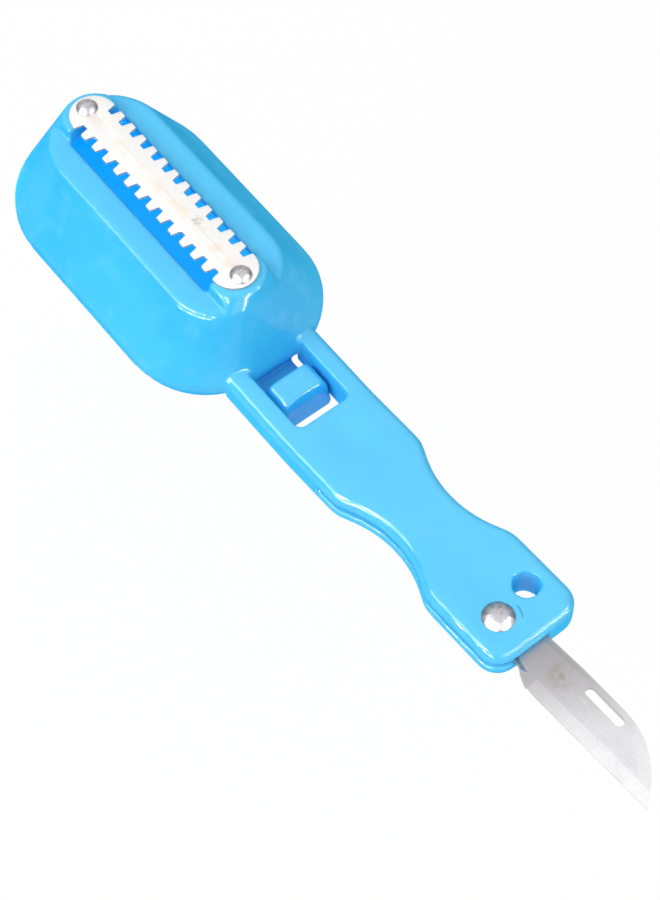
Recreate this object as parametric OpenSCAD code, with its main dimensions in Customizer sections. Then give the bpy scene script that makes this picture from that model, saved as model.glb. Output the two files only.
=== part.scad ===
// Fish scaler. A toothed steel strip stands over a hollow head that catches the
// scales, a lid under the head lets them out, and a knife folds into the handle.
// The toothed side is up, X runs from the head to the knife, and Z = 0 is the
// flat underside of the lid. X = 0 is the middle of the head.

/* [Head] */
// Length of the head at its rim
head_len = 90.8; // [86:0.2:100]
// Width of the head at its rim
head_w = 54; // [48:0.5:62]
// Corner radius of the rim at the handle end, seen from above
head_r = 22.4; // [16:0.2:24]
// Corner radius of the rim at the far end, seen from above
head_r_far = 25.6; // [18:0.2:26.4]
// Height of the upright rim band
rim_h = 3.3; // [2:0.1:5]
// Height from the rim band to the flat shoulder
wall_rise = 17.4; // [14:0.2:24]
// Length of the flat shoulder
shoulder_len = 76; // [72:0.2:80]
// Width of the flat shoulder
shoulder_w = 29.8; // [26:0.2:36]
// Corner radius of the shoulder
shoulder_r = 14.4; // [9:0.1:14.8]
// Radius that rounds the shoulder edge
shoulder_soft = 1.2; // [0.6:0.1:2.5]
// Wall thickness of the head
wall_t = 2; // [1.6:0.1:2.6]
// Length of the opening under the strip
trough_len = 57; // [50:0.5:58]
// Width of the opening under the strip
trough_w = 15.6; // [13:0.2:18]
// Height of the two posts above the shoulder
post_rise = 3.3; // [2:0.1:6]
// Width of the two posts
post_w = 15.2; // [13.4:0.2:17]
// Thickness of the seat on top of each post
seat_t = 2.3; // [1.6:0.1:3]

/* [Toothed strip] */
// Length of the strip
strip_len = 69.8; // [66:0.2:72]
// Width of the strip over its teeth
strip_w = 12.3; // [11:0.1:13.2]
// Thickness of the strip
strip_t = 1; // [0.8:0.1:1.5]
// Distance that the strip lies off the middle of the head, toward the far end
strip_shift = 0.6; // [0:0.1:1]
// Number of teeth along each side
tooth_count = 12; // [8:1:12]
// Distance from tooth to tooth
tooth_pitch = 4.5; // [3.8:0.1:4.6]
// Width of a tooth at its tip
tip_w = 1.8; // [1.2:0.1:2.2]
// Width of a tooth at its root
root_w = 2.9; // [2.4:0.1:3.3]
// Depth of the notches between the teeth
notch_depth = 2.5; // [1.8:0.1:3]
// Distance between the two strip rivets
rivet_gap = 63.2; // [61:0.2:64]
// Diameter of a strip rivet's shank
strip_shank_d = 2.6; // [2:0.1:3]
// Diameter of a strip rivet's domed head
strip_head_d = 5.5; // [5:0.1:6.5]
// Height of a strip rivet's domed head
strip_head_h = 1.5; // [1:0.1:2]

/* [Handle] */
// Length of the handle past the rim of the head
handle_len = 98.4; // [94:0.2:112]
// Width of the handle
handle_w = 27.4; // [25:0.2:31]
// Thickness of the handle
handle_t = 9.6; // [8.6:0.1:12]
// Radius of the handle's long edges
edge_r = 2.6; // [1.2:0.1:3]
// Corner radius of the handle's end, seen from above
end_r = 5.8; // [4:0.1:8]
// Angle at which the grip rises from the head
rise_deg = 4.9; // [0:0.1:7]
// Radius of the bend where the grip starts to rise
bend_r = 70; // [30:5:120]
// Length of the window between the prongs, from the rim of the head
window_len = 19.2; // [17:0.2:22]
// Width of the window
window_w = 15.6; // [14.4:0.2:17]
// Distance from the rim of the head to the middle of the waist
waist_at = 57; // [50:0.5:60]
// Width of the handle at the waist
waist_w = 18.2; // [15:0.2:22]
// Radius of the scallops that make the waist
scallop_r = 30; // [22:1:45]
// Depth of the thumb dish behind the window
dish_depth = 1; // [0:0.1:1.4]
// Length of the thumb dish
dish_len = 19; // [12:0.5:24]
// Width of the thumb dish
dish_w = 15; // [8:0.5:18]
// Diameter of the hole for hanging
hang_d = 6.8; // [4:0.1:8]
// Distance from the end of the handle to the hanging hole
hang_back = 11.8; // [9:0.1:16]
// Distance of the hanging hole from the centre line
hang_side = 6; // [5.4:0.1:7]

/* [Knife] */
// Distance from the end of the handle to the pivot
pivot_back = 9.4; // [9:0.1:12]
// Distance of the pivot from the centre line
pivot_side = 4.8; // [4.2:0.1:5.6]
// Diameter of the pivot rivet's shank
pivot_d = 3.2; // [2.6:0.1:4]
// Diameter of the pivot rivet's domed head
pivot_head_d = 8; // [7:0.1:9]
// Height of the pivot rivet's domed head
pivot_head_h = 1.9; // [1.2:0.1:2.4]
// Length of the blade from the pivot to the point
blade_len = 55.1; // [46:0.5:56]
// Height of the blade's back above the pivot
back_h = 7.9; // [7:0.1:8.2]
// Depth of the cutting edge below the pivot
edge_h = 5.4; // [4.6:0.1:6]
// Thickness of the blade
blade_t = 1.4; // [1:0.1:1.8]
// Play on each face of the blade in its slot
blade_play = 0.2; // [0.1:0.05:0.4]
// Width of the ground bevel along the cutting edge
bevel_w = 3.2; // [2:0.1:4.5]
// Length of the nail slot in the blade
nail_len = 12; // [8:0.5:14]
// Width of the nail slot
nail_w = 2.6; // [1.6:0.1:2.8]

/* [Lid] */
// Height of the lid's tray
lid_h = 3.7; // [3.4:0.1:5]
// Gap between the lid and the rim of the head
lid_gap = 0.3; // [0.2:0.05:0.6]
// Distance of the lid's edge inside the rim of the head
lid_inset = 1.3; // [0.6:0.1:2]
// Thickness of the lid's floor
lid_floor = 1.6; // [1.2:0.1:2]
// Radius that rounds the lid's lower edge
lid_soft = 2.2; // [1:0.1:2.8]
// Height of the lip that reaches into the head
lip_h = 1.9; // [1:0.1:2.5]
// Thickness of the lip
lip_t = 1.4; // [1:0.1:2]
// Play between the lip and the inside of the head
lip_play = 0.4; // [0.3:0.05:0.6]
// Diameter of the lid's hinge pins
hinge_pin_d = 1.8; // [1.4:0.1:2]
// Distance from the end of the rim to the hinge line
hinge_back = 2.2; // [2.1:0.1:2.6]
// Height of the hinge line
hinge_z = 2.1; // [2.1:0.1:2.4]
// Width of the hinge between its two ears
hinge_w = 13.6; // [10:0.2:15]
// Thickness of each hinge ear
ear_t = 2.5; // [2:0.1:3]
// Gap between the thumb tab and the prongs beside it
tab_play = 0.4; // [0.3:0.1:1]
// Length of the thumb tab on top
tab_len = 7.6; // [6:0.2:9]
// Distance from the rim of the head to the thumb tab
tab_gap = 4.4; // [2.8:0.1:5]
// Height of the thumb tab
tab_h = 8.3; // [7:0.1:9]
// Radius of the thumb tab's upper corners
tab_r = 2.8; // [1:0.1:3.4]
// Flare of the thumb tab's foot toward the handle
tab_flare = 2; // [0:0.1:2.6]
// Narrowing of the thumb tab from its foot to its top, on each side
tab_taper = 0.6; // [0:0.1:1]
// Width of the tongue that carries the tab
tongue_w = 12.4; // [6:0.2:14]

/* [Hidden] */

$fn = 96;
// Running play of every pin in its hole, measured on the radius
pin_play = 0.05;
// Overlap that makes a cut run clear past a face
past = 1;
// Points along each rounded corner of the head and of the lid
corner_steps = 12;
// Points along each rounded long edge of the handle and across its top
edge_steps = 5;
top_steps = 14;

// Heights of the head, all measured from the lid's underside
rim_z = lid_h + lid_gap;
wall_z = rim_z + rim_h;
shoulder_z = wall_z + wall_rise;
seat_z = shoulder_z + post_rise;

// Half sizes of the rim and of the shoulder
head_a = head_len / 2;
head_b = head_w / 2;
shoulder_a = shoulder_len / 2;
shoulder_b = shoulder_w / 2;
// Lean of the walls along and across the head
lean_a = (head_a - shoulder_a) / wall_rise;
lean_b = (head_b - shoulder_b) / wall_rise;
lean_r = (head_r - shoulder_r) / wall_rise;
lean_far = (head_r_far - shoulder_r) / wall_rise;
// Level of the inner roof and wall thickness measured level across the slope
roof_z = shoulder_z - wall_t;
slope_t_a = wall_t * sqrt(1 + lean_a * lean_a);
slope_t_b = wall_t * sqrt(1 + lean_b * lean_b);
// Wall of a post on the side of the trough, and the rim of its seat past the strip
post_wall = 1.2;
seat_rim = 1.8;

// Places along the handle
bend_x = head_a + window_len - 0.8;
mid_z = handle_t / 2;
arc_x = bend_x + bend_r * sin(rise_deg);
arc_z = mid_z + bend_r * (1 - cos(rise_deg));
grip_len = handle_len - (bend_x - head_a) - bend_r * rise_deg * PI / 180;
waist_u = waist_at - (handle_len - grip_len);
pivot_u = grip_len - pivot_back;
hang_u = grip_len - hang_back;
dish_u = dish_len / 2 - (bend_r * rise_deg * PI / 180) + 0.8;
// Softness of the shoulders on both sides of the waist
waist_blend = 0.45;

// Slot for the blade
slot_t = blade_t + 2 * blade_play;
stop_play = 0.15;
fold_play = 0.6;
point_play = 0.8;
tang_r = 6;

// Lid places
lid_a = head_a - lid_inset;
lid_b = head_b - lid_inset;
lid_r = head_r - lid_inset;
lid_far = head_r_far - lid_inset;
lip_a = head_a - wall_t - lip_play;
lip_b = head_b - wall_t - lip_play;
lip_r = head_r - wall_t - lip_play;
lip_far = head_r_far - wall_t - lip_play;
hinge_x = -(head_a - hinge_back);
ear_r = hinge_z - 0.1;
barrel_r = min(hinge_z, rim_z - hinge_z) - 0.4;
ear_play = 0.3;

// Outline of a rounded rectangle, as points in one sense of rotation. The corners
// toward -X take the radius far.
function round_rect(a, b, r, far, n = corner_steps) =
    [for (q = [0:3], j = [0:n])
        let (t = 90 * (q + j / n), back = q == 1 || q == 2,
             c = back && !is_undef(far) ? far : r, sx = back ? -1 : 1, sy = q < 2 ? 1 : -1)
        [sx * (a - c) + c * cos(t), sy * (b - c) + c * sin(t)]];

// The same outline as a level ring at height z
function level_ring(a, b, r, z, far, x = 0) =
    [for (p = round_rect(a, b, r, far)) [x + p[0], p[1], z]];

// Solid through a stack of rings that all have the same number of points
module loft(rings) {
    n = len(rings[0]);
    m = len(rings);
    sides = [for (k = [0:m - 2], i = [0:n - 1])
        let (j = (i + 1) % n)
        each [[k * n + i, (k + 1) * n + i, (k + 1) * n + j],
              [k * n + i, (k + 1) * n + j, k * n + j]]];
    polyhedron(
        points = [for (ring = rings) each ring],
        faces = concat([[for (i = [0:n - 1]) i]], sides,
                       [[for (i = [n - 1:-1:0]) (m - 1) * n + i]]));
}

// Places its children in the grip, with X along it and Z square to its faces
module in_grip() translate([arc_x, 0, arc_z]) rotate([0, -rise_deg, 0]) children();

// Places its children on the knife pivot
module on_pivot() in_grip() translate([pivot_u, -pivot_side, 0]) children();

// Places its children on one strip rivet, at the top of the post's seat
module on_strip_rivet(side)
    translate([side * rivet_gap / 2 - strip_shift, 0, seat_z]) children();

// Domed rivet head that sits on Z = 0
module dome(d, h) {
    ball_r = (d * d / 4 + h * h) / (2 * h);
    intersection() {
        translate([0, 0, h - ball_r]) sphere(ball_r);
        cylinder(d = d, h = h + past);
    }
}

// Head

function wall_ring(z) =
    let (up = z - wall_z)
    level_ring(head_a - lean_a * up, head_b - lean_b * up, head_r - lean_r * up, z,
               head_r_far - lean_far * up);

module head_outside() {
    soft_z = shoulder_z - shoulder_soft;
    loft([
        level_ring(head_a, head_b, head_r, rim_z, head_r_far),
        level_ring(head_a, head_b, head_r, wall_z - 0.6, head_r_far),
        level_ring(head_a - 0.1, head_b - 0.1, head_r - 0.1, wall_z, head_r_far - 0.1),
        wall_ring(wall_z + 0.6),
        wall_ring(soft_z),
        for (t = [22.5, 45, 67.5, 90])
            let (z = soft_z + shoulder_soft * sin(t),
                 drop = shoulder_soft * (1 - cos(t)))
            level_ring(shoulder_a + lean_a * (shoulder_z - z) - drop,
                       shoulder_b + lean_b * (shoulder_z - z) - drop,
                       shoulder_r + lean_r * (shoulder_z - z) - drop, z)]);
    posts();
}

// The two posts carry on the end walls up to the seats of the strip
module posts() {
    seat_a = strip_len / 2 + seat_rim;
    seat_b = post_w / 2 + 0.2;
    intersection() {
        loft([wall_ring(shoulder_z - 6),
              wall_ring(shoulder_z - 0.4),
              level_ring(seat_a, seat_b, seat_b - 0.1, seat_z - 0.4, x = -strip_shift),
              level_ring(seat_a - 0.1, seat_b - 0.1, seat_b - 0.2, seat_z - 0.1,
                         x = -strip_shift),
              level_ring(seat_a - 0.4, seat_b - 0.4, seat_b - 0.5, seat_z,
                         x = -strip_shift)]);
        translate([-head_a, -post_w / 2, shoulder_z - 6])
            cube([head_len, post_w, post_rise + 6 + past]);
    }
}

module head_inside() {
    roof_a = shoulder_a + lean_a * wall_t - slope_t_a;
    roof_b = shoulder_b + lean_b * wall_t - slope_t_b;
    loft([
        level_ring(head_a - wall_t, head_b - wall_t, head_r - wall_t, -past,
                   head_r_far - wall_t),
        level_ring(head_a - wall_t, head_b - wall_t, head_r - wall_t, wall_z - 0.4,
                   head_r_far - wall_t),
        level_ring(roof_a, roof_b, shoulder_r - 1.2, roof_z)]);
    // Hollow of the posts, open to the chamber below
    post_out = shoulder_a - 0.5 - slope_t_a;
    for (side = [-1, 1]) {
        post_in = trough_len / 2 + post_wall - side * strip_shift;
        translate([side * (post_in + post_out) / 2, 0, roof_z - past])
            linear_extrude(post_rise + wall_t - seat_t + past)
                polygon(round_rect((post_out - post_in) / 2, post_w / 2 - wall_t, 1.4));
    }
}

module trough() {
    translate([-strip_shift, 0, 0])
        linear_extrude(seat_z + past)
            polygon(round_rect(trough_len / 2, trough_w / 2, 0.8));
}

module hinge_ears() {
    for (side = [-1, 1])
        translate([hinge_x, side * (hinge_w + ear_t) / 2, 0]) rotate([90, 0, 0])
            translate([0, 0, -ear_t / 2]) {
                translate([0, hinge_z, 0]) cylinder(r = ear_r, h = ear_t);
                translate([-ear_r, hinge_z, 0]) cube([2 * ear_r, rim_z + 1 - hinge_z, ear_t]);
            }
}

// Handle

// Half width of the handle at place u of the grip, set in by i
function scallop(u) =
    let (d = abs(u - waist_u))
    d < scallop_r ? waist_w / 2 + scallop_r - sqrt(scallop_r * scallop_r - d * d)
                  : waist_w / 2 + scallop_r;
function soft_min(p, q) = (p + q) / 2 - sqrt(pow((p - q) / 2, 2) + waist_blend * waist_blend);
function half_w(u, i) =
    u > grip_len - end_r
        ? handle_w / 2 - end_r
          + sqrt(max(0, pow(end_r - i, 2) - pow(u - grip_len + end_r, 2)))
        : abs(u - waist_u) < scallop_r
            ? min(handle_w / 2, soft_min(handle_w / 2 + 0.06, scallop(u))) - i
            : handle_w / 2 - i;

// Depth of the thumb dish at place u, at side y
function dish(u, y) =
    let (du = (u - dish_u) / (dish_len / 2), dy = y / (dish_w / 2),
         far = min(1, sqrt(du * du + dy * dy)))
    dish_depth * (1 + cos(180 * far)) / 2;

// Upright section of the handle at place u, as pairs of side and height
function grip_section(u) =
    let (full = min(90, acos(max(0, 1 - (grip_len - u) / edge_r))),
         quarter = [for (j = [0:edge_steps])
             let (t = full * j / edge_steps)
             [half_w(u, edge_r * (1 - cos(t))), handle_t / 2 - edge_r + edge_r * sin(t)]])
    concat(quarter,
           [for (k = [1:top_steps - 1])
               let (y = (1 - 2 * k / top_steps) * quarter[edge_steps][0])
               [y, quarter[edge_steps][1] - dish(u, y)]],
           [for (j = [edge_steps:-1:0]) [-quarter[j][0], quarter[j][1]]],
           [for (p = quarter) [-p[0], -p[1]]],
           [for (j = [edge_steps:-1:0]) [quarter[j][0], -quarter[j][1]]]);

// Puts a section into space at point x, z, turned by the angle of rise there
function placed(section, x, z, turn) =
    [for (p = section) [x - p[1] * sin(turn), p[0], z + p[1] * cos(turn)]];

grip_places = concat(
    [for (u = [1.5:1.5:grip_len - end_r - 0.5]) u],
    [for (t = [0:9:81]) grip_len - end_r + (end_r - edge_r) * sin(t)],
    [for (t = [0:15:75]) grip_len - edge_r + edge_r * sin(t)],
    [grip_len - 0.01]);

module handle_outside() {
    root = shoulder_a - 4;
    loft(concat(
        [placed(grip_section(root - bend_x - bend_r), root, mid_z, 0)],
        [for (k = [0:3])
            let (turn = rise_deg * k / 3)
            placed(grip_section(bend_r * (turn - rise_deg) * PI / 180),
                   bend_x + bend_r * sin(turn),
                   mid_z + bend_r * (1 - cos(turn)), turn)],
        [for (u = grip_places)
            placed(grip_section(u), arc_x + u * cos(rise_deg), arc_z + u * sin(rise_deg),
                   rise_deg)]));
}

module window() {
    flare = 0.9;
    from = shoulder_a - 6;
    to = head_a + window_len;
    translate([(from + to) / 2, 0, 0])
        loft([level_ring((to - from) / 2, window_w / 2, 1.8, -past),
              level_ring((to - from) / 2, window_w / 2, 1.8, handle_t - flare),
              for (t = [30, 60, 90])
                  let (out = flare * (1 - cos(t)))
                  level_ring((to - from) / 2 + out, window_w / 2 + out, 1.8 + out,
                             handle_t - flare + flare * sin(t)),
              level_ring((to - from) / 2 + flare, window_w / 2 + flare, 1.8 + flare,
                         handle_t + past)]);
}

// Slot in the middle of the handle's thickness, open to the side and to the end
module blade_slot() {
    floor_y = edge_h + fold_play;
    stop_y = back_h + stop_play;
    reach = blade_len + point_play;
    on_pivot() translate([0, 0, -slot_t / 2]) {
        intersection() {
            cylinder(r = reach, h = slot_t);
            translate([-reach, -handle_w, 0]) cube([reach, handle_w + floor_y, slot_t]);
        }
        cylinder(r = tang_r + fold_play, h = slot_t);
        translate([0, -handle_w, 0]) cube([pivot_back + past, handle_w + floor_y, slot_t]);
        // Wall that the back of the open blade comes to rest on
        translate([tang_r - 2, -handle_w, 0])
            cube([pivot_back - tang_r + 2 + past, handle_w + stop_y, slot_t]);
    }
}

module handle() {
    difference() {
        handle_outside();
        window();
        // Room for the lid under the rim
        translate([0, 0, -past])
            linear_extrude(rim_z + past)
                polygon(round_rect(lid_a + 0.4, lid_b + 0.4, lid_r + 0.4, lid_far + 0.4));
    }
}

module body() {
    color([0.22, 0.73, 0.98])
    difference() {
        union() {
            handle();
            head_outside();
            hinge_ears();
        }
        head_inside_and_trough();
        // Holes in the hinge ears
        translate([hinge_x, 0, hinge_z]) rotate([90, 0, 0])
            cylinder(d = hinge_pin_d + 2 * pin_play, h = hinge_w + 2 * ear_t + past, center = true);
        // Holes for the strip rivets
        for (side = [-1, 1]) on_strip_rivet(side)
            translate([0, 0, -seat_t - past])
                cylinder(d = strip_shank_d, h = seat_t + 2 * past);
        blade_slot();
        on_pivot() cylinder(d = pivot_d, h = 2 * handle_t, center = true);
        in_grip() translate([hang_u, hang_side, 0])
            cylinder(d = hang_d, h = 2 * handle_t, center = true);
    }
}

// Chamber of the head, kept off the hinge ears below the rim
module head_inside_and_trough() {
    difference() {
        head_inside();
        translate([hinge_x - ear_r, -hinge_w / 2 - ear_t, -2 * past])
            cube([2 * ear_r, hinge_w + 2 * ear_t, rim_z + 2 * past]);
    }
    trough();
}

// Lid

module lid() {
    near_x = head_a + tab_gap;
    color([0.20, 0.70, 0.96])
    difference() {
        union() {
            lid_tray();
            // Barrel and pins of the hinge
            translate([hinge_x, 0, hinge_z]) rotate([90, 0, 0]) {
                cylinder(r = barrel_r, h = hinge_w - 2 * ear_play, center = true);
                cylinder(d = hinge_pin_d, h = hinge_w + 2 * ear_t - 0.6, center = true);
            }
            // Tongue and thumb tab
            translate([lid_a - 3, -tongue_w / 2, 0])
                cube([near_x + 2 - lid_a + 3, tongue_w, lid_floor]);
            tab(0);
        }
        // The tab is hollow from below
        tab(lid_floor);
    }
}

// Half width of the thumb tab's foot, and its ring at height z, set in by i
tab_b = window_w / 2 - tab_play;
function tab_ring(z, i, drop = 0) =
    let (share = z / tab_h, x0 = head_a + tab_gap + i,
         x1 = head_a + tab_gap + tab_len + tab_flare * (1 - share) - i)
    level_ring((x1 - x0) / 2 - drop / 4, tab_b - tab_taper * share - i - drop,
               max(0.3, 0.9 - i), z, x = (x0 + x1) / 2);

// Thumb tab with its upper corners rounded, set in by i all round
module tab(i) {
    r = tab_r - i / 2;
    top = tab_h - i;
    loft([tab_ring(i > 0 ? -past : 0, i),
          for (t = [0, 22.5, 45, 67.5, 90])
              tab_ring(top - r + r * sin(t), i, r * (1 - cos(t)))]);
}

module lid_tray() {
    difference() {
        union() {
            loft([
                for (t = [0, 22.5, 45, 67.5, 90])
                    let (inset = lid_soft * (1 - sin(t)))
                    level_ring(lid_a - inset, lid_b - inset, lid_r - inset,
                               lid_soft * (1 - cos(t)), lid_far - inset),
                level_ring(lid_a, lid_b, lid_r, lid_h, lid_far)]);
            loft([level_ring(lip_a, lip_b, lip_r, lid_floor, lip_far),
                  level_ring(lip_a, lip_b, lip_r, lid_h + lip_h - 0.5, lip_far),
                  level_ring(lip_a - 0.4, lip_b - 0.4, lip_r - 0.4, lid_h + lip_h,
                             lip_far - 0.4)]);
        }
        translate([0, 0, lid_floor]) linear_extrude(lid_h + lip_h)
            polygon(round_rect(lip_a - lip_t, lip_b - lip_t, lip_r - lip_t, lip_far - lip_t));
        // Straight end at the hinge line, with room for the ears
        translate([hinge_x - 10, -head_w / 2, -past])
            cube([10, head_w, lid_h + lip_h + 2 * past]);
        for (side = [-1, 1])
            translate([hinge_x - past, side * (hinge_w + ear_t) / 2, lid_h / 2])
                cube([2 * (ear_r + ear_play + past), ear_t + 2 * ear_play, 4 * lid_h],
                     center = true);
    }
}

// Toothed strip

// Strip with round ends, before the notches that leave the teeth
module strip_blank() {
    end_x = strip_len / 2 - strip_w / 2;
    translate([-end_x, -strip_w / 2, 0]) cube([2 * end_x, strip_w, strip_t]);
    for (s = [-1, 1]) translate([s * end_x, 0, 0]) cylinder(d = strip_w, h = strip_t);
}

// One notch, wider at its mouth, with its mouth toward +Y
module notch() {
    foot = (tooth_pitch - root_w) / 2;
    mouth = (tooth_pitch - tip_w) / 2;
    slant = (mouth - foot) / notch_depth;
    translate([0, strip_w / 2 - notch_depth, -past]) linear_extrude(strip_t + 2 * past)
        polygon([[-foot, 0], [foot, 0], [mouth + slant, notch_depth + 1],
                 [-mouth - slant, notch_depth + 1]]);
}

module scraper_strip() {
    color([0.90, 0.89, 0.85])
    translate([-strip_shift, 0, seat_z]) difference() {
        strip_blank();
        for (k = [0:tooth_count], turn = [0, 180])
            translate([(k - tooth_count / 2) * tooth_pitch, 0, 0])
                rotate([0, 0, turn]) notch();
        for (s = [-1, 1]) translate([s * rivet_gap / 2, 0, -past])
            cylinder(d = strip_shank_d, h = strip_t + 2 * past);
    }
}

// Rivet of the strip: dome above, shank through the seat, small tail below
module strip_rivet(side) {
    color([0.75, 0.75, 0.77])
    on_strip_rivet(side) {
        translate([0, 0, strip_t]) dome(strip_head_d, strip_head_h);
        translate([0, 0, -seat_t]) cylinder(d = strip_shank_d, h = seat_t + strip_t);
        translate([0, 0, -seat_t]) rotate([180, 0, 0]) dome(strip_shank_d + 1, 0.6);
    }
}

module strip_rivet_far() strip_rivet(-1);
module strip_rivet_near() strip_rivet(1);

// Knife

// Blade seen from above, with the pivot at 0, 0 and the point toward +X
function blade_outline() =
    let (nose_x = 0.6 * blade_len, drop = edge_h - 0.8, steps = 14)
    concat(
        [[2, tang_r - 0.8], [4.4, tang_r - 0.5], [5.2, back_h - 0.8],
         [nose_x - 12, back_h - 0.1]],
        [for (k = [0:steps])
            let (t = k / steps)
            [nose_x + (blade_len - nose_x) * t, -drop + (back_h + drop) * (1 - pow(t, 2.45))]],
        [[18, -edge_h], [15, -edge_h + 0.3], [12.6, -edge_h + 1.3], [11, -edge_h + 2.4],
         [9, -edge_h + 2.6], [2, -tang_r + 0.8]]);

module knife_blade() {
    drop = edge_h - 0.8;
    edge_turn = atan((edge_h - drop) / (blade_len - 18));
    color([0.80, 0.79, 0.82])
    on_pivot() difference() {
        translate([0, 0, -blade_t / 2]) union() {
            linear_extrude(blade_t) polygon(blade_outline());
            cylinder(r = tang_r, h = blade_t);
        }
        cylinder(d = pivot_d + 2 * pin_play, h = blade_t + 2 * past, center = true);
        // Slot for the finger nail
        translate([0.56 * blade_len, back_h - 2.8, 0]) {
            for (x = [-1, 1]) translate([x * (nail_len - nail_w) / 2, 0, 0])
                cylinder(d = nail_w, h = blade_t + 2 * past, center = true);
            cube([nail_len - nail_w, nail_w, blade_t + 2 * past], center = true);
        }
        // Bevel ground on both faces along the cutting edge
        for (face = [-1, 1])
            translate([16, -edge_h, 0]) rotate([0, 0, edge_turn]) rotate([90, 0, 90])
                linear_extrude(blade_len)
                    polygon([[-past, face * 0.12], [0, face * 0.12],
                             [bevel_w, face * blade_t / 2],
                             [bevel_w, face * (blade_t / 2 + past)],
                             [-past, face * (blade_t / 2 + past)]]);
    }
}

module knife_rivet() {
    color([0.78, 0.78, 0.80])
    on_pivot() {
        translate([0, 0, handle_t / 2]) dome(pivot_head_d, pivot_head_h);
        cylinder(d = pivot_d, h = handle_t, center = true);
        translate([0, 0, -handle_t / 2]) rotate([180, 0, 0])
            dome(pivot_head_d - 1.6, pivot_head_h - 0.7);
    }
}

body();
lid();
scraper_strip();
strip_rivet_far();
strip_rivet_near();
knife_blade();
knife_rivet();
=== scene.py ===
import bpy
import bmesh
from math import radians, pi, sqrt, atan2
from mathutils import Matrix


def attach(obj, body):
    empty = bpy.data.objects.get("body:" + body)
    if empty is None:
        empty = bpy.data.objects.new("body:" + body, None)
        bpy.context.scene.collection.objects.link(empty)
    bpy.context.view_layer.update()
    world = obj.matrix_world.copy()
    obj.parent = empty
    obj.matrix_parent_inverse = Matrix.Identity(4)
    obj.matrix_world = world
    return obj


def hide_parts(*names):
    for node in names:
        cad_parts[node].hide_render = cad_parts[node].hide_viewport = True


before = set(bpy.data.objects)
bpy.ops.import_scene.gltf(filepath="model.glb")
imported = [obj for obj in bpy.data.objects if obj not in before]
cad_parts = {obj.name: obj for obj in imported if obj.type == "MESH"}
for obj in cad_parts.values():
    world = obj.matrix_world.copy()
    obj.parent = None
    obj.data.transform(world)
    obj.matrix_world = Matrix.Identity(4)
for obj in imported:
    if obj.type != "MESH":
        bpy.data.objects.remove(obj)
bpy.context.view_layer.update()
scene = bpy.context.scene
mm = 0.001
print("frame loaded:", len(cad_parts), "nodes")

# ---- camera, at the photograph's place

cameraSettings = {
    "place": (0.26305, -0.18739, 0.46964),
    "turn": (29.568, -2.834, 51.144),      # degrees
    "lens": 58.667,
    "sensorHeight": 24,
    "clipStart": 0.01,
}

cameraData = bpy.data.cameras.new("camera")
cameraData.sensor_fit = 'VERTICAL'
cameraData.sensor_height = cameraSettings["sensorHeight"]
cameraData.lens = cameraSettings["lens"]
cameraData.clip_start = cameraSettings["clipStart"]
camera = bpy.data.objects.new("camera", cameraData)
camera.location = cameraSettings["place"]
camera.rotation_euler = [radians(a) for a in cameraSettings["turn"]]
scene.collection.objects.link(camera)
scene.camera = camera
print("camera placed")


# ---- helpers for the modelling

def deselectAll():
    if bpy.context.object and bpy.context.object.mode != 'OBJECT':
        bpy.ops.object.mode_set(mode='OBJECT')
    bpy.ops.object.select_all(action='DESELECT')


def makeActive(piece):
    deselectAll()
    piece.select_set(True)
    bpy.context.view_layer.objects.active = piece


def selectFaces(piece, wanted):
    # ends in edit mode, with only the wanted faces selected
    bpy.ops.object.mode_set(mode='EDIT')
    bpy.ops.mesh.select_mode(type='FACE')
    bpy.ops.mesh.select_all(action='DESELECT')
    mesh = bmesh.from_edit_mesh(piece.data)
    for face in mesh.faces:
        if wanted(face):
            face.select_set(True)
    mesh.select_flush_mode()
    bmesh.update_edit_mesh(piece.data)


def applyModifier(piece, kind, settings):
    makeActive(piece)
    modifier = piece.modifiers.new(kind.lower(), kind)
    for name, value in settings.items():
        setattr(modifier, name, value)
    bpy.ops.object.modifier_apply(modifier=modifier.name)


def copyOfNode(nodeName, pieceName):
    # a merged copy of a CAD node, which itself is left alone
    piece = bpy.data.objects.new(pieceName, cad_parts[nodeName].data.copy())
    scene.collection.objects.link(piece)
    makeActive(piece)
    bpy.ops.object.mode_set(mode='EDIT')
    bpy.ops.mesh.select_all(action='SELECT')
    bpy.ops.mesh.remove_doubles(threshold=0.001 * mm)
    bpy.ops.object.mode_set(mode='OBJECT')
    return piece


def softenMoulding(piece, look):
    # an even mesh, with its edges rounded as moulding rounds them
    applyModifier(piece, 'REMESH', {"mode": 'VOXEL', "voxel_size": look["grain"] * mm,
                                    "use_smooth_shade": True})
    applyModifier(piece, 'SMOOTH', {"factor": 0.5, "iterations": look["softRounds"]})


def dissolveFlats(piece):
    # clears the edges that lie inside flat faces
    makeActive(piece)
    bpy.ops.object.mode_set(mode='EDIT')
    bpy.ops.mesh.select_all(action='SELECT')
    bpy.ops.mesh.dissolve_limited(angle_limit=radians(1))
    bpy.ops.object.mode_set(mode='OBJECT')


def shadeByAngle(piece, degrees):
    makeActive(piece)
    bpy.ops.object.shade_smooth_by_angle(angle=radians(degrees))


def placeInMesh(piece):
    makeActive(piece)
    bpy.ops.object.transform_apply(location=True, rotation=True, scale=True)


def dress(piece, material, slot, body, *nodes):
    piece.data.materials.clear()
    piece.data.materials.append(material)
    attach(piece, body)
    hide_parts(*nodes)
    print("piece", piece.name, "has", len(piece.data.polygons), "faces")


# ---- shader helpers

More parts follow.
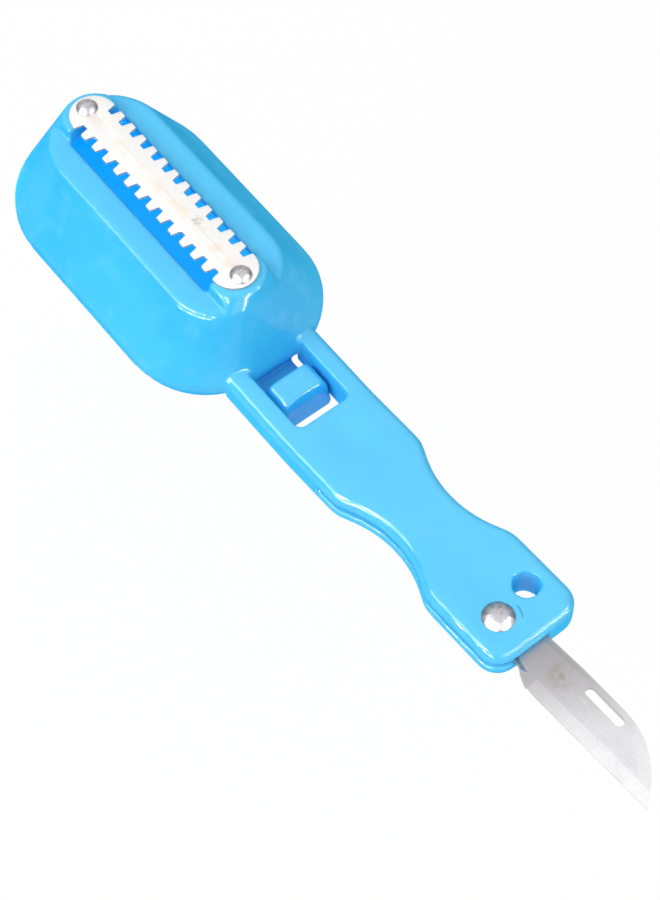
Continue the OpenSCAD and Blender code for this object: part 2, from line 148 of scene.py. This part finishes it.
class Wire:
    # one output socket; sums of wires become Math nodes
    def __init__(self, surface, socket):
        self.surface = surface
        self.socket = socket

    def math(self, operation, first, second=0.0):
        return self.surface.node('ShaderNodeMath', {"operation": operation}, {0: first, 1: second})

    def __add__(self, other): return self.math('ADD', self, other)
    def __radd__(self, other): return self.math('ADD', other, self)
    def __sub__(self, other): return self.math('SUBTRACT', self, other)
    def __rsub__(self, other): return self.math('SUBTRACT', other, self)
    def __mul__(self, other): return self.math('MULTIPLY', self, other)
    def __rmul__(self, other): return self.math('MULTIPLY', other, self)
    def __truediv__(self, other): return self.math('DIVIDE', self, other)
    def __pow__(self, other): return self.math('POWER', self, other)
    def __abs__(self): return self.math('ABSOLUTE', self)
    def atLeast(self, low): return self.math('MAXIMUM', self, low)
    def clamp(self, low, high): return self.math('MINIMUM', self.atLeast(low), high)
    def root(self): return self.math('SQRT', self)
    def wave(self): return self.math('SINE', self)
    def angleFrom(self, other): return self.math('ARCTAN2', self, other)


class Surface:
    # one material, with its coordinates in millimetres
    def __init__(self, name):
        self.material = bpy.data.materials.new(name)
        self.material.use_nodes = True
        self.tree = self.material.node_tree
        self.tree.nodes.clear()
        metres = self.node('ShaderNodeTexCoord', {}, {}, "Object")
        self.place = self.node('ShaderNodeVectorMath', {"operation": 'SCALE'},
                               {0: metres, "Scale": 1 / mm})
        self.x, self.y, self.z = [self.node('ShaderNodeSeparateXYZ', {}, {0: self.place}, axis)
                                  for axis in "XYZ"]

    def facing(self, axis):
        # how far the surface faces along an axis of the piece, from -1 to 1
        normal = self.node('ShaderNodeTexCoord', {}, {}, "Normal")
        return self.node('ShaderNodeSeparateXYZ', {}, {0: normal}, axis)

    def node(self, kind, settings, values, out=0):
        made = self.tree.nodes.new(kind)
        for name, value in settings.items():
            setattr(made, name, value)
        for name, value in values.items():
            if isinstance(value, Wire):
                self.tree.links.new(value.socket, made.inputs[name])
            else:
                made.inputs[name].default_value = value
        return Wire(self, made.outputs[out])

    def noise(self, scale, detail=2, stretch=(1, 1, 1), turn=0):
        # scale is in grains per millimetre
        moved = self.node('ShaderNodeMapping', {}, {"Vector": self.place, "Scale": stretch,
                                                    "Rotation": (0, 0, radians(turn))})
        return self.node('ShaderNodeTexNoise', {}, {"Vector": moved, "Scale": scale, "Detail": detail})

    def fade(self, value, low, high):
        # 0 at low, 1 at high, soft between
        return self.node('ShaderNodeMapRange', {"interpolation_type": 'SMOOTHSTEP'},
                         {"Value": value, "From Min": low, "From Max": high})

    def mix(self, factor, first, second):
        return self.node('ShaderNodeMix', {"data_type": 'RGBA'}, {0: factor, 6: first, 7: second}, 2)

    def distance(self, x, y):
        # seen from above, in millimetres
        return ((self.x - x) ** 2 + (self.y - y) ** 2).root()

    def scratches(self, scale, length, turn, low=0.71, high=0.76):
        # hairlines that run at an angle in degrees, each about so many times longer than wide
        return self.fade(self.noise(scale, 1, (1 / length, 1, 1), turn), low, high)

    def bump(self, height, depth, strength=1.0):
        # height runs from 0 to 1, depth is in millimetres
        return self.node('ShaderNodeBump', {}, {"Height": height, "Strength": strength,
                                                "Distance": depth * mm})

    def finish(self, values):
        shader = self.node('ShaderNodeBsdfPrincipled', {}, values)
        output = self.tree.nodes.new('ShaderNodeOutputMaterial')
        self.tree.links.new(shader.socket, output.inputs["Surface"])
        return self.material


# ---- head and handle, one blue moulding

mouldingLook = {
    "grain": 0.55,                  # size of the remesh, in millimetres
    "softRounds": 3,
    "blue": (0.060, 0.525, 0.890, 1),
    "deepBlue": (0.036, 0.460, 0.850, 1),
    "paleBlue": (0.130, 0.590, 0.900, 1),
    "glow": (0.0, 0.17, 0.31, 1),   # painted glow, emission that stands in for light coming through the thin walls round the hollow
    "partingHeight": 7.4,
    "partingEnd": 45,               # the line runs round the head only
    "rivetAt": (134.1, -4.9),
    "grooveRadius": 5.4,
    "grooveHeight": 14.5,            # the top of the handle there
    # painted shade colour for the groove beside the pivot rivet
    "grooveShade": (0.002, 0.17, 0.50, 1),
    "roofHeight": 23.5,             # the painted glow ends under the platform
    "dullFrom": 34, "dullTo": 50,   # the gloss grows from the head to the handle
}

# the outside of the head: half sizes at its foot, and what each loses per millimetre of height
headShell = {
    "foot": 7.3, "top": 24.7,
    "halfLong": 45.4, "longDraft": 0.425,
    "halfWide": 27, "wideDraft": 0.695,
    "corner": 22.4, "cornerDraft": 0.46,
}


def depthInHead(surface):
    # distance behind the outer skin of the head, in millimetres
    shell = headShell
    up = surface.z.clamp(shell["foot"], shell["top"]) - shell["foot"]
    long = shell["halfLong"] - up * shell["longDraft"]
    wide = shell["halfWide"] - up * shell["wideDraft"]
    corner = shell["corner"] - up * shell["cornerDraft"]
    past = (abs(surface.x) - (long - corner)).atLeast(0)
    beside = (abs(surface.y) - (wide - corner)).atLeast(0)
    return corner - (past ** 2 + beside ** 2).root()


def bluePlastic(name, look, marks):
    surface = Surface(name)
    # flow of the plastic along the tool, clouding, fine specks, and a painted sheen that makes the faces
    # looking up paler
    flow = surface.noise(0.045, 3, (0.35, 1, 1))
    cloud = surface.fade(surface.noise(0.16, 2), 0.45, 0.85)
    speck = surface.noise(2.6, 2)
    # painted sheen: faces that look up are made paler, as if lit by the sky
    wearAndSheen = surface.fade(surface.facing("Z"), 0.70, 0.97)
    colour = surface.mix(surface.fade(flow, 0.30, 0.72), look["deepBlue"], look["blue"])
    colour = surface.mix(cloud * 0.45, colour, look["paleBlue"])
    colour = surface.mix(surface.fade(speck, 0.62, 0.75) * 0.10, colour, look["paleBlue"])
    colour = surface.mix(wearAndSheen * 0.55, colour, look["paleBlue"])
    # finger marks and hairlines
    smudge = surface.fade(surface.noise(0.11, 4), 0.48, 0.70)
    lines = (surface.scratches(0.9, 14, 18) + surface.scratches(1.1, 18, -35)
             + surface.scratches(0.8, 11, 64, 0.73, 0.78))
    roughness = 0.20 + smudge * 0.09 + speck * 0.05 + lines * 0.12
    height = surface.noise(0.7, 2) * 0.5 + speck * 0.12 - lines * 0.12
    colour, height, paintedGlow = marks(surface, colour, height)
    # no gloss at a flat angle, and less of it on the head, which is rubbed duller
    aslant = surface.node('ShaderNodeLayerWeight', {}, {"Blend": 0.5}, "Facing")
    gloss = 1 - surface.fade(aslant, 0.34, 0.70)
    rubbed = 0.5 + surface.fade(surface.x, mouldingLook["dullFrom"], mouldingLook["dullTo"]) * 0.5
    return surface.finish({
        "Base Color": colour,
        "Roughness": roughness,
        "IOR": 1.45,
        "Specular IOR Level": 0.0,
        "Coat Weight": gloss * rubbed,
        "Coat Roughness": 0.07,
        "Coat IOR": 1.5,
        # painted glow where the hollow lies, emission in place of light through the walls
        "Emission Color": surface.mix(paintedGlow, (0, 0, 0, 1), look["glow"]),
        "Emission Strength": 1.0,
        "Normal": surface.bump(height, 0.05, 0.35),
    })


def mouldingMarks(surface, colour, height):
    look = mouldingLook
    # parting line round the foot of the head
    line = 1 - surface.fade(abs(surface.z - look["partingHeight"]), 0.10, 0.32)
    onHead = 1 - surface.fade(surface.x, look["partingEnd"] - 1, look["partingEnd"] + 1)
    line = line * onHead
    # a thin groove beside the pivot rivet, a short arc on the top of the handle, bumped in and darkened
    # with painted shade
    x, y = look["rivetAt"]
    shadedGroove = 1 - surface.fade(abs(surface.distance(x, y) - look["grooveRadius"]), 0.10, 0.38)
    turn = (surface.y - y).angleFrom(surface.x - x)
    arc = surface.fade(turn, 0.85, 1.0) * (1 - surface.fade(turn, 1.48, 1.62))
    shadedGroove = shadedGroove * arc * surface.fade(surface.z, look["grooveHeight"] - 0.5, look["grooveHeight"] + 0.5)
    colour = surface.mix(shadedGroove * 0.55, colour, look["grooveShade"])
    colour = surface.mix(line * 0.25, colour, look["deepBlue"])
    # painted glow: the inside of the head glows up to its roof, standing in for light through its thin
    # walls
    underRoof = 1 - surface.fade(surface.z, look["roofHeight"] - 0.6, look["roofHeight"] + 0.7)
    paintedGlow = surface.fade(depthInHead(surface), 0.9, 1.5) * underRoof
    return colour, height + line * 0.5 - shadedGroove * 0.6, paintedGlow


def makeMoulding():
    look = mouldingLook
    piece = copyOfNode("body", "moulding")
    softenMoulding(piece, look)
    dress(piece, bluePlastic("blue moulding", look, mouldingMarks), "blue_plastic", "housing", "body")
    return piece


moulding = makeMoulding()

# ---- lid, with its hinge pins, tongue and thumb tab

lidLook = {
    "grain": 0.45,
    "softRounds": 4,
    "blue": (0.048, 0.490, 0.880, 1),
    "deepBlue": (0.024, 0.420, 0.840, 1),
    "paleBlue": (0.140, 0.600, 0.900, 1),
    # painted glow inside the tray, emission in place of light through the walls
    "glow": (0.0, 0.17, 0.31, 1),
    "tabAt": (52.6, 3.2),
    "tabHeight": 7.5, "tabStart": 43.5,
    "ringStep": 0.85,
    "trayHeight": 1.15,             # the floor of the tray
}


def lidMarks(surface, colour, height):
    # turned rings left by the tool on top of the tab
    x, y = lidLook["tabAt"]
    rings = (surface.distance(x, y) * (2 * pi / lidLook["ringStep"])).wave() * 0.5 + 0.5
    onTab = (surface.fade(surface.z, lidLook["tabHeight"] - 0.3, lidLook["tabHeight"] + 0.3)
             * surface.fade(surface.x, lidLook["tabStart"] - 0.5, lidLook["tabStart"] + 0.5))
    wearAndSheen = surface.fade(surface.noise(0.55, 3), 0.44, 0.62)
    pits = surface.fade(surface.noise(3.0, 3), 0.50, 0.66)
    rings = rings * onTab * wearAndSheen
    colour = surface.mix(rings * 0.24, colour, lidLook["paleBlue"])
    colour = surface.mix(onTab * pits * 0.30, colour, lidLook["deepBlue"])
    # painted glow: the inside of the tray glows, standing in for light through its thin walls
    overTray = surface.fade(surface.z, lidLook["trayHeight"] - 0.25, lidLook["trayHeight"] + 0.25)
    paintedGlow = surface.fade(depthInHead(surface), 2.2, 3.0) * overTray
    return colour, height + rings * 0.25, paintedGlow


def makeLid():
    look = lidLook
    piece = copyOfNode("lid", "lidShell")
    softenMoulding(piece, look)
    dress(piece, bluePlastic("blue lid", look, lidMarks), "blue_plastic", "lid", "lid")
    return piece


lidShell = makeLid()

# ---- toothed strip

stripLook = {
    "edge": 0.13,                   # width of the edge break, in millimetres
    "steel": (0.930, 0.925, 0.905, 1),
    "tan": (0.760, 0.560, 0.360, 1),
    "dark": (0.260, 0.225, 0.190, 1),
    "grey": (0.70, 0.68, 0.64, 1),
    "smudgeAt": (12, 1.3),
    "streakAt": 0.35,
    "topHeight": 28.9,
}


def stripSteel():
    look = stripLook
    surface = Surface("strip steel")
    # brushed along, with a brown stain and a streak down the middle, and one dark smudge
    grain = surface.noise(3.2, 3, (0.05, 1, 1))
    fine = surface.noise(9, 2, (0.08, 1, 1))
    patch = surface.noise(0.20, 4)
    wander = (surface.noise(0.12, 2) - 0.5) * 3
    middle = 1 - surface.fade(abs(surface.y + wander), 0.2, 2.6)
    stain = middle * surface.fade(patch, 0.42, 0.66)
    broken = surface.fade(surface.noise(0.3, 3, (0.5, 1, 1)), 0.42, 0.58)
    streak = (1 - surface.fade(abs(surface.y - look["streakAt"]), 0.05, 0.30)) * broken
    x, y = look["smudgeAt"]
    ragged = surface.fade(surface.noise(0.9, 4), 0.38, 0.62)
    smudge = (1 - surface.fade(surface.distance(x, y), 0.3, 2.2)) * ragged
    cutSide = 1 - surface.fade(surface.z, look["topHeight"] - 0.12, look["topHeight"] + 0.02)
    colour = surface.mix(stain * 0.42, look["steel"], look["tan"])
    colour = surface.mix(streak * 0.35, colour, look["tan"])
    colour = surface.mix(smudge * 0.60, colour, look["dark"])
    colour = surface.mix(grain * 0.10, colour, look["grey"])
    colour = surface.mix(cutSide * 0.70, colour, look["dark"])
    roughness = 0.30 + grain * 0.12 + stain * 0.14 + smudge * 0.2 + cutSide * 0.15
    lines = surface.scratches(1.6, 25, 4) + surface.scratches(1.3, 16, -22, 0.73, 0.78)
    return surface.finish({
        "Base Color": colour,
        "Metallic": 0.42 - stain * 0.12 - smudge * 0.15,
        "Roughness": roughness,
        "Normal": surface.bump(grain * 0.5 + fine * 0.3 - lines * 0.3, 0.02, 0.30),
    })


def makeStrip():
    piece = copyOfNode("scraper_strip", "stripPlate")
    dissolveFlats(piece)
    applyModifier(piece, 'BEVEL', {"width": stripLook["edge"] * mm, "segments": 2,
                                   "limit_method": 'ANGLE', "angle_limit": radians(50)})
    shadeByAngle(piece, 35)
    dress(piece, stripSteel(), "strip_steel", "housing", "scraper_strip")
    return piece


stripPlate = makeStrip()

# ---- knife blade

bladeLook = {
    "pivot": (134.157, -4.8, 10.575),
    "lean": -4.9,                   # the handle rises toward its far end
    "steel": (0.664, 0.652, 0.672, 1),
    # the pale tip colour carries a painted reflection, which starts from the dark root colour
    "tip": (0.815, 0.810, 0.835, 1),
    "root": (0.392, 0.381, 0.395, 1),
    "rust": (0.240, 0.195, 0.130, 1),
    "smudgeAt": (153, -2.0),
    "rootAt": 140, "tipAt": 184,    # along a line that leans with the edge
}


def bladeSteel():
    look = bladeLook
    surface = Surface("blade steel")
    # brushed across, with a rusty smudge near the root, and a painted reflection: darker at the root,
    # paler and less metallic toward the tip
    grain = surface.noise(2.8, 3, (1, 0.05, 1), 4)
    fine = surface.noise(7, 2, (1, 0.07, 1), 4)
    patch = surface.fade(surface.noise(0.12, 4), 0.45, 0.75)
    mottle = surface.fade(surface.noise(2.2, 3), 0.46, 0.66)
    # painted reflection along the blade, from the dark root to the pale tip
    along = surface.fade(surface.x - surface.y * 0.6, look["rootAt"], look["tipAt"])
    colour = surface.mix(along, look["root"], look["steel"])
    colour = surface.mix(along * along, colour, look["tip"])
    colour = surface.mix(patch * 0.22, colour, look["root"])
    x, y = look["smudgeAt"]
    ragged = surface.fade(surface.noise(0.42, 4), 0.40, 0.62)
    smudge = (1 - surface.fade(surface.distance(x, y), 0.6, 5.6)) * ragged
    colour = surface.mix(smudge * 0.62, colour, look["rust"])
    colour = surface.mix(mottle * 0.16, colour, look["root"])
    # painted shade: faces that tilt away from level, the ground edge a little and the sides most, are
    # darkened toward the root colour
    bevelShade = 1 - surface.fade(abs(surface.facing("Z")), 0.93, 0.985)
    colour = surface.mix(bevelShade * 0.55, colour, look["root"])
    lines = surface.scratches(1.3, 20, 10) + surface.scratches(1.1, 24, 80, 0.73, 0.78)
    roughness = 0.34 + grain * 0.10 + smudge * 0.15 + lines * 0.1
    return surface.finish({
        "Base Color": colour,
        "Metallic": 0.95 - smudge * 0.3 - along * 0.35,
        "Roughness": roughness,
        "Normal": surface.bump(grain * 0.5 + fine * 0.3 - lines * 0.3, 0.02, 0.30),
    })


def turnAboutPivot(piece, degrees):
    # about the axis of the pivot, along the width of the tool
    pivot = [v * mm for v in bladeLook["pivot"]]
    makeActive(piece)
    piece.location = [-v for v in pivot]
    placeInMesh(piece)
    piece.rotation_euler = (0, radians(degrees), 0)
    placeInMesh(piece)
    piece.location = pivot
    placeInMesh(piece)


def makeBlade():
    # laid level while its flats are cleared, then leaned back
    piece = copyOfNode("knife_blade", "blade")
    turnAboutPivot(piece, -bladeLook["lean"])
    dissolveFlats(piece)
    turnAboutPivot(piece, bladeLook["lean"])
    shadeByAngle(piece, 8)
    dress(piece, bladeSteel(), "blade_steel", "knife", "knife_blade")
    return piece


blade = makeBlade()

# ---- rivets

# seat is the height of the head's flat underside
stripRivetLook = {
    "farAt": -32.2, "nearAt": 31.0, "seat": 29.0,
    "headWide": 5.5, "headHigh": 1.5,
    "shankWide": 2.6, "shankLong": 3.3,
    "tailWide": 3.6, "tailHigh": 0.6,
    "sides": 48, "rings": 9,
}

# its seat is measured from the pivot's middle, along the leaning axis
pivotRivetLook = {
    "seat": 4.8, "centre": (133.74, -4.8),
    "headWide": 8.0, "headHigh": 1.9,
    "shankWide": 3.2, "shankLong": 9.6,
    "tailWide": 6.4, "tailHigh": 1.2,
    "sides": 64, "rings": 11,
}

rivetShape = {
    "topFlat": 0.10,                # share of the width
    "bunching": 1.15,               # draws the rings together toward the rim
    "rimTaper": 0.03, "rimShare": 0.35,
    "drawnIn": 0.12,                # sharpens the edge of the underside
    "step": 0.0005,                 # height of a ring that looks flat
    "tailRings": 5,
}

rivetColours = {
    "metal": (0.62, 0.61, 0.64, 1),
    # painted shade for the edge of the dome
    "rim": (0.08, 0.07, 0.08, 1),
    "dent": (0.26, 0.24, 0.26, 1),
    # painted sheen for the spoke marks
    "spokeSheen": (0.75, 0.75, 0.78, 1),
}


def rivetMetal(name, x, y, wide):
    # turned rings, spoke marks made paler with a painted sheen, hammer dents, and a rim darkened with
    # painted shade
    surface = Surface(name)
    away = surface.distance(x, y) / (wide / 2)
    turned = (away * 34 + surface.noise(0.9, 2) * 3).wave() * 0.5 + 0.5
    turn = (surface.y - y).angleFrom(surface.x - x)
    # spoke marks, bumped in and painted paler as a sheen
    spokeMarksAndSheen = surface.fade((turn * 9 + surface.noise(0.7, 2) * 5).wave() * 0.5 + 0.5, 0.55, 0.95)
    # painted shade darkens the edge of the dome
    rim = surface.fade(away, 0.52, 0.94)
    dents = surface.noise(1.1, 3)
    colour = surface.mix(rim * 0.75, rivetColours["metal"], rivetColours["rim"])
    colour = surface.mix(surface.fade(dents, 0.48, 0.66) * 0.50, colour, rivetColours["dent"])
    colour = surface.mix(spokeMarksAndSheen * 0.20, colour, rivetColours["spokeSheen"])
    return surface.finish({
        "Base Color": colour,
        "Metallic": 0.97 - rim * 0.1,
        "Roughness": 0.22 + dents * 0.12 + rim * 0.12,
        "Normal": surface.bump(dents * 0.8 + turned * 0.12 + spokeMarksAndSheen * 0.2, 0.12, 0.7),
    })


def domeRings(wide, high, count):
    # radius and height of each ring of a dome with a small flat on top
    ball = (wide * wide / 4 + high * high) / (2 * high)
    flat = rivetShape["topFlat"] * wide / 2
    rings = []
    for k in range(1, count + 1):
        share = (k / count) ** rivetShape["bunching"]
        radius = wide / 2 * (1 - share) + flat * share
        height = sqrt(ball * ball - radius * radius) - (ball - high)
        rings.append((radius, height))
    return rings


def stackRings(piece, centre, rings):
    # extrudes the selected round face through the rings, each a radius and a height in millimetres
    nowRadius, nowHeight = rings[0]
    for radius, height in rings[1:]:
        bpy.ops.mesh.extrude_region_move(
            TRANSFORM_OT_translate={"value": (0, 0, (height - nowHeight) * mm)})
        scale = radius / nowRadius
        bpy.ops.transform.resize(value=(scale, scale, 1),
                                 center_override=(centre[0] * mm, centre[1] * mm, height * mm))
        nowRadius, nowHeight = radius, height


def makeRivet(name, centre, look):
    shape, seat = rivetShape, look["seat"]
    headRadius, shankRadius, tailRadius = look["headWide"] / 2, look["shankWide"] / 2, look["tailWide"] / 2
    deselectAll()
    bpy.ops.mesh.primitive_circle_add(vertices=look["sides"], radius=headRadius * mm, fill_type='NGON',
                                      location=(centre[0] * mm, centre[1] * mm, seat * mm))
    piece = bpy.context.object
    piece.name = name
    placeInMesh(piece)
    selectFaces(piece, lambda face: True)
    # up: a thin upright rim, then the dome
    dome = domeRings(look["headWide"], look["headHigh"], look["rings"])
    rimTop = (headRadius - shape["rimTaper"], seat + dome[0][1] * shape["rimShare"])
    stackRings(piece, centre, [(headRadius, seat), rimTop]
               + [(radius, seat + height) for radius, height in dome])
    bpy.ops.object.mode_set(mode='OBJECT')
    # down: the flat underside is drawn in and run out as shank and tail
    selectFaces(piece, lambda face: face.normal.z < -0.9)
    under = seat - look["shankLong"]
    tail = domeRings(look["tailWide"], look["tailHigh"], shape["tailRings"])
    stackRings(piece, centre, [(headRadius, seat), (headRadius - shape["drawnIn"], seat - shape["step"]),
                               (shankRadius, seat - 2 * shape["step"]), (shankRadius, under),
                               (tailRadius, under - shape["step"])]
               + [(radius, under - height) for radius, height in tail])
    bpy.ops.mesh.select_all(action='SELECT')
    bpy.ops.mesh.normals_make_consistent(inside=False)
    bpy.ops.object.mode_set(mode='OBJECT')
    shadeByAngle(piece, 40)
    return piece


def makeStripRivets():
    # modelled once, and copied to the far end of the strip
    look = stripRivetLook
    near = makeRivet("rivetNear", (look["nearAt"], 0), look)
    makeActive(near)
    bpy.ops.object.duplicate(linked=False)
    far = bpy.context.object
    far.name = "rivetFar"
    far.location.x = (look["farAt"] - look["nearAt"]) * mm
    placeInMesh(far)
    dress(near, rivetMetal("near rivet metal", look["nearAt"], 0, look["headWide"]),
          "rivet_metal", "housing", "strip_rivet_near")
    dress(far, rivetMetal("far rivet metal", look["farAt"], 0, look["headWide"]),
          "rivet_metal", "housing", "strip_rivet_far")
    return near, far


def makePivotRivet():
    # modelled upright at the origin, then leaned and set on the pivot
    look = pivotRivetLook
    piece = makeRivet("pivotRivet", (0, 0), look)
    piece.rotation_euler = (0, radians(bladeLook["lean"]), 0)
    placeInMesh(piece)
    piece.location = [v * mm for v in bladeLook["pivot"]]
    placeInMesh(piece)
    dress(piece, rivetMetal("pivot rivet metal", *look["centre"], look["headWide"]),
          "rivet_metal", "housing", "knife_rivet")
    return piece


rivetNear, rivetFar = makeStripRivets()
pivotRivet = makePivotRivet()

# ---- floor, lamps and sky

studio = {
    "floorSize": 8,
    "floorDrop": 0.10,              # room for the open lid below the tool
    "floorWhite": 0.85,
    "floorGlow": 0.94,              # share of plain white that the camera sees, the rest is lit floor
    "skyHigh": 0.896,               # strength of the sky overhead, and at and below the horizon
    "skyLow": 0.36,
    "skyRise": 0.75,                # how far up the sky reaches its full strength
    "lamps": [
        # name, place, aimed at, size, watts
        ("key", (-0.35, -0.85, 0.75), (0.05, 0, 0.01), (0.7, 0.5), 6.6),
        ("fill", (0.95, -0.15, 0.45), (0.05, 0, 0.01), (0.5, 0.4), 2.0),
        ("sideLineLow", (0.22, -0.95, 0.30), (0.12, 0, 0.01), (1.0, 0.012), 15.0),
        ("sideLineHigh", (0.22, -0.72, 0.70), (0.12, 0, 0.01), (1.0, 0.012), 13.0),
        ("endLineLow", (1.05, 0.30, 0.25), (0.14, 0, 0.01), (0.9, 0.012), 8.0),
        ("endLineHigh", (0.80, 0.30, 0.65), (0.14, 0, 0.01), (0.9, 0.012), 8.0),
    ],
}


def makeFloor():
    deselectAll()
    bpy.ops.mesh.primitive_plane_add(size=studio["floorSize"], location=(0, 0, -studio["floorDrop"]))
    floor = bpy.context.object
    floor.name = "floor"
    placeInMesh(floor)
    surface = Surface("white floor")
    rays = [surface.node('ShaderNodeLightPath', {}, {}, "Is " + kind + " Ray")
            for kind in ("Camera", "Glossy", "Transmission")]
    seen = rays[0] + rays[1] + rays[2]
    white = studio["floorWhite"]
    lit = surface.node('ShaderNodeBsdfDiffuse', {}, {"Color": (white, white, white, 1)})
    glow = surface.node('ShaderNodeEmission', {}, {"Color": (1, 1, 1, 1), "Strength": 1.0})
    mixed = surface.node('ShaderNodeMixShader', {}, {0: seen * studio["floorGlow"], 1: lit, 2: glow})
    # clear from below, so that the underside can be looked at
    below = surface.node('ShaderNodeNewGeometry', {}, {}, "Backfacing")
    clear = surface.node('ShaderNodeBsdfTransparent', {}, {"Color": (1, 1, 1, 1)})
    mixed = surface.node('ShaderNodeMixShader', {}, {0: below, 1: mixed, 2: clear})
    output = surface.tree.nodes.new('ShaderNodeOutputMaterial')
    surface.tree.links.new(mixed.socket, output.inputs["Surface"])
    floor.data.materials.append(surface.material)


def makeLamps():
    for name, place, target, size, watts in studio["lamps"]:
        data = bpy.data.lights.new(name, 'AREA')
        data.shape = 'RECTANGLE'
        data.size, data.size_y = size
        data.energy = watts
        lamp = bpy.data.objects.new(name, data)
        # the thin lines of light are there for their reflections only
        lamp.visible_diffuse = "Line" not in name
        lamp.location = place
        away = [p - t for p, t in zip(place, target)]
        flat = sqrt(away[0] ** 2 + away[1] ** 2)
        # a lamp shines along its own -Z, with its long side level
        lamp.rotation_euler = (atan2(flat, away[2]), 0, atan2(away[0], -away[1]))
        scene.collection.objects.link(lamp)


def makeSky():
    sky = bpy.data.worlds.new("studio sky")
    scene.world = sky
    sky.use_nodes = True
    tree = sky.node_tree
    tree.nodes.clear()
    place = tree.nodes.new('ShaderNodeTexCoord')
    split = tree.nodes.new('ShaderNodeSeparateXYZ')
    tree.links.new(place.outputs["Generated"], split.inputs[0])
    rise = tree.nodes.new('ShaderNodeMapRange')
    rise.interpolation_type = 'SMOOTHSTEP'
    rise.inputs["From Min"].default_value = 0.0
    rise.inputs["From Max"].default_value = studio["skyRise"]
    rise.inputs["To Min"].default_value = studio["skyLow"]
    rise.inputs["To Max"].default_value = studio["skyHigh"]
    tree.links.new(split.outputs["Z"], rise.inputs["Value"])
    # plain white where the camera sees it
    ray = tree.nodes.new('ShaderNodeLightPath')
    seen = tree.nodes.new('ShaderNodeMix')
    seen.inputs["B"].default_value = 1.0
    tree.links.new(ray.outputs["Is Camera Ray"], seen.inputs["Factor"])
    tree.links.new(rise.outputs[0], seen.inputs["A"])
    glow = tree.nodes.new('ShaderNodeBackground')
    glow.inputs["Color"].default_value = (1, 1, 1, 1)
    tree.links.new(seen.outputs[0], glow.inputs["Strength"])
    output = tree.nodes.new('ShaderNodeOutputWorld')
    tree.links.new(glow.outputs[0], output.inputs["Surface"])


makeFloor()
makeLamps()
makeSky()
scene.view_settings.view_transform = 'Standard'
print("floor, lamps and sky made")

deselectAll()
